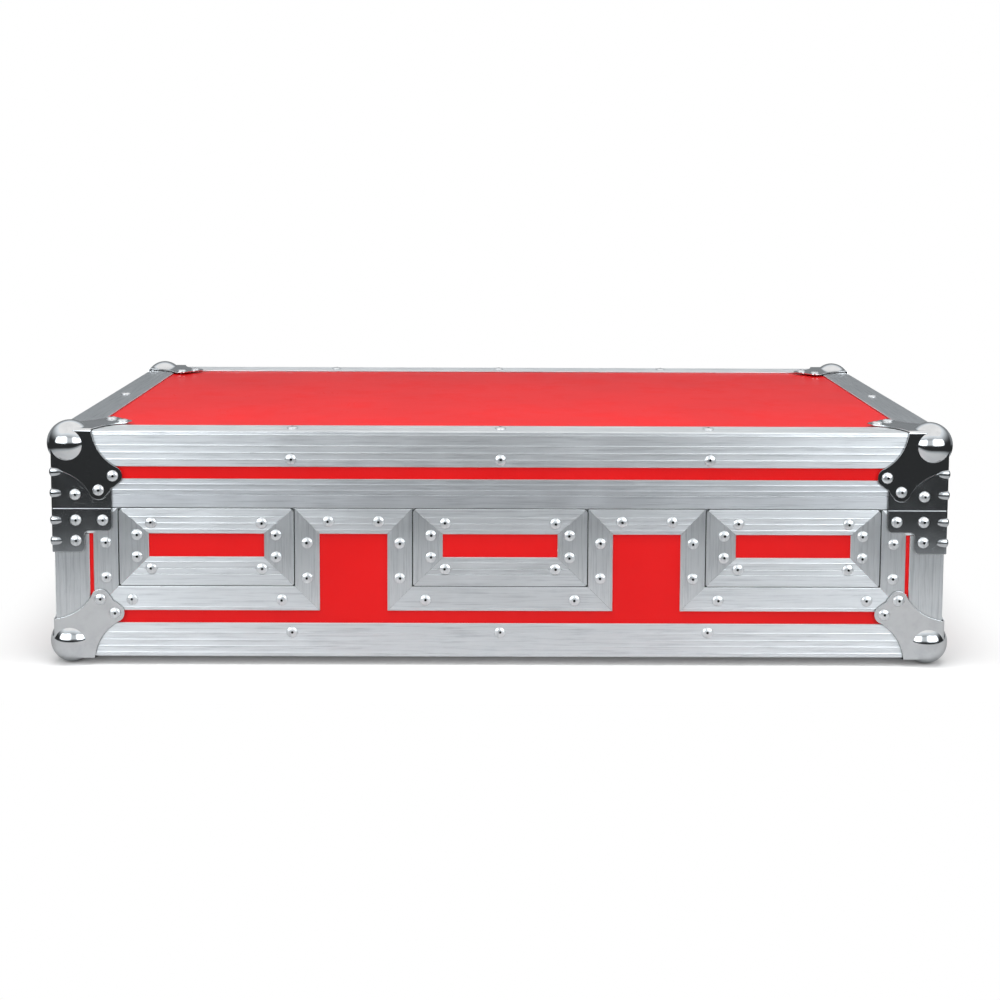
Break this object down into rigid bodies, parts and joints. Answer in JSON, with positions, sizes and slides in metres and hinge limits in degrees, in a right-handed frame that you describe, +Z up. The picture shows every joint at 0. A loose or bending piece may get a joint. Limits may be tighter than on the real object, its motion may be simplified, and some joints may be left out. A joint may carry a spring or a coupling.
{
  "type": "dj player case",
  "caption": "road case for dj players and a mixer: red laminate panels in aluminium edging, ball corners, lift-off lid, lift-out front doors, recessed latches and handles",
  "frame": {"origin": "centre of the footprint, at the lowest points of the lower ball corners", "axes": "+X to the right seen from the front, +Y from the front to the rear, +Z up"},
  "size_m": [0.776, 0.434, 0.211],
  "materials": {
    "red_laminate": "satin phenolic laminate on plywood",
    "aluminium": "mill-finish extrusion",
    "chrome": "chrome-plated pressed steel",
    "bright_steel": "bright-plated pressed steel",
    "zinc": "zinc-plated steel",
    "black_rubber": "moulded grip on a black bail",
    "grey_foam": "open-cell foam"
  },
  "bodies": {
    "base": {"ball_corner_lower_front_left": "chrome", "ball_corner_lower_front_right": "chrome", "ball_corner_lower_rear_left": "chrome", "ball_corner_lower_rear_right": "chrome", "base_bottom_panel": "red_laminate", "base_brace_front_left": "bright_steel", "base_brace_front_right": "bright_steel", "base_brace_rear_left": "bright_steel", "base_brace_rear_right": "bright_steel", "base_edge_ring": "aluminium", "base_front_panel": "red_laminate", "base_left_panel": "red_laminate", "base_rear_panel": "red_laminate", "base_right_panel": "red_laminate", "base_rim": "aluminium", "bay_foam": "grey_foam", "corner_post_front_left": "aluminium", "corner_post_front_right": "aluminium", "corner_post_rear_left": "aluminium", "corner_post_rear_right": "aluminium", "handle_dish_left": "zinc", "handle_dish_right": "zinc", "latch_dish_front_left": "zinc", "latch_dish_front_right": "zinc", "latch_dish_rear_left": "zinc", "latch_dish_rear_right": "zinc"},
    "lid": {"lid_top_panel": "red_laminate", "lid_wall": "red_laminate", "lid_edge_ring": "aluminium", "lid_rim": "aluminium", "lid_foam": "grey_foam", "ball_corner_upper_front_left": "chrome", "ball_corner_upper_front_right": "chrome", "ball_corner_upper_rear_left": "chrome", "ball_corner_upper_rear_right": "chrome", "lid_brace_front_left": "bright_steel", "lid_brace_front_right": "bright_steel", "lid_brace_rear_left": "bright_steel", "lid_brace_rear_right": "bright_steel", "latch_keeper_front_left": "zinc", "latch_keeper_front_right": "zinc", "latch_keeper_rear_left": "zinc", "latch_keeper_rear_right": "zinc"},
    "door_left": {"door_frame_left": "aluminium", "door_panel_left": "red_laminate"},
    "door_centre": {"door_frame_centre": "aluminium", "door_panel_centre": "red_laminate"},
    "door_right": {"door_frame_right": "aluminium", "door_panel_right": "red_laminate"},
    "handle_left": {"handle_bail_left": "black_rubber"},
    "claw_front_left": {"latch_claw_front_left": "zinc"},
    "wing_front_left": {"latch_wing_front_left": "zinc"},
    "claw_rear_left": {"latch_claw_rear_left": "zinc"},
    "wing_rear_left": {"latch_wing_rear_left": "zinc"},
    "handle_right": {"handle_bail_right": "black_rubber"},
    "claw_front_right": {"latch_claw_front_right": "zinc"},
    "wing_front_right": {"latch_wing_front_right": "zinc"},
    "claw_rear_right": {"latch_claw_rear_right": "zinc"},
    "wing_rear_right": {"latch_wing_rear_right": "zinc"}
  },
  "joints": [
    {"name": "lid_lift", "type": "slide", "parent": "base", "child": "lid", "axis": [0, 0, 1], "range_m": [0, 0.3]},
    {"name": "door_left_lift", "type": "slide", "parent": "base", "child": "door_left", "axis": [0, 0, 1], "range_m": [0, 0.09]},
    {"name": "door_centre_lift", "type": "slide", "parent": "base", "child": "door_centre", "axis": [0, 0, 1], "range_m": [0, 0.09]},
    {"name": "door_right_lift", "type": "slide", "parent": "base", "child": "door_right", "axis": [0, 0, 1], "range_m": [0, 0.09]},
    {"name": "handle_left_fold", "type": "hinge", "parent": "base", "child": "handle_left", "pos_m": [-0.3727, 0, 0.09435], "axis": [0, 1, 0], "range_deg": [0, 90], "stiffness_Nm_per_rad": 0.3},
    {"name": "claw_front_left_turn", "type": "hinge", "parent": "base", "child": "claw_front_left", "pos_m": [-0.381, -0.113, 0.121], "axis": [1, 0, 0], "range_deg": [0, 180]},
    {"name": "wing_front_left_fold", "type": "hinge", "parent": "claw_front_left", "child": "wing_front_left", "pos_m": [-0.3771, -0.113, 0.121], "axis": [0, 1, 0], "range_deg": [0, 90]},
    {"name": "claw_rear_left_turn", "type": "hinge", "parent": "base", "child": "claw_rear_left", "pos_m": [-0.381, 0.113, 0.121], "axis": [1, 0, 0], "range_deg": [0, 180]},
    {"name": "wing_rear_left_fold", "type": "hinge", "parent": "claw_rear_left", "child": "wing_rear_left", "pos_m": [-0.3771, 0.113, 0.121], "axis": [0, 1, 0], "range_deg": [0, 90]},
    {"name": "handle_right_fold", "type": "hinge", "parent": "base", "child": "handle_right", "pos_m": [0.3727, 0, 0.09435], "axis": [0, -1, 0], "range_deg": [0, 90], "stiffness_Nm_per_rad": 0.3},
    {"name": "claw_front_right_turn", "type": "hinge", "parent": "base", "child": "claw_front_right", "pos_m": [0.381, -0.113, 0.121], "axis": [1, 0, 0], "range_deg": [0, 180]},
    {"name": "wing_front_right_fold", "type": "hinge", "parent": "claw_front_right", "child": "wing_front_right", "pos_m": [0.3771, -0.113, 0.121], "axis": [0, -1, 0], "range_deg": [0, 90]},
    {"name": "claw_rear_right_turn", "type": "hinge", "parent": "base", "child": "claw_rear_right", "pos_m": [0.381, 0.113, 0.121], "axis": [1, 0, 0], "range_deg": [0, 180]},
    {"name": "wing_rear_right_fold", "type": "hinge", "parent": "claw_rear_right", "child": "wing_rear_right", "pos_m": [0.3771, 0.113, 0.121], "axis": [0, -1, 0], "range_deg": [0, 90]}
  ],
  "couplings": [
    {"joint": "door_left_lift", "follows": "lid_lift", "ratio": 0.3},
    {"joint": "door_centre_lift", "follows": "lid_lift", "ratio": 0.3},
    {"joint": "door_right_lift", "follows": "lid_lift", "ratio": 0.3}
  ]
}
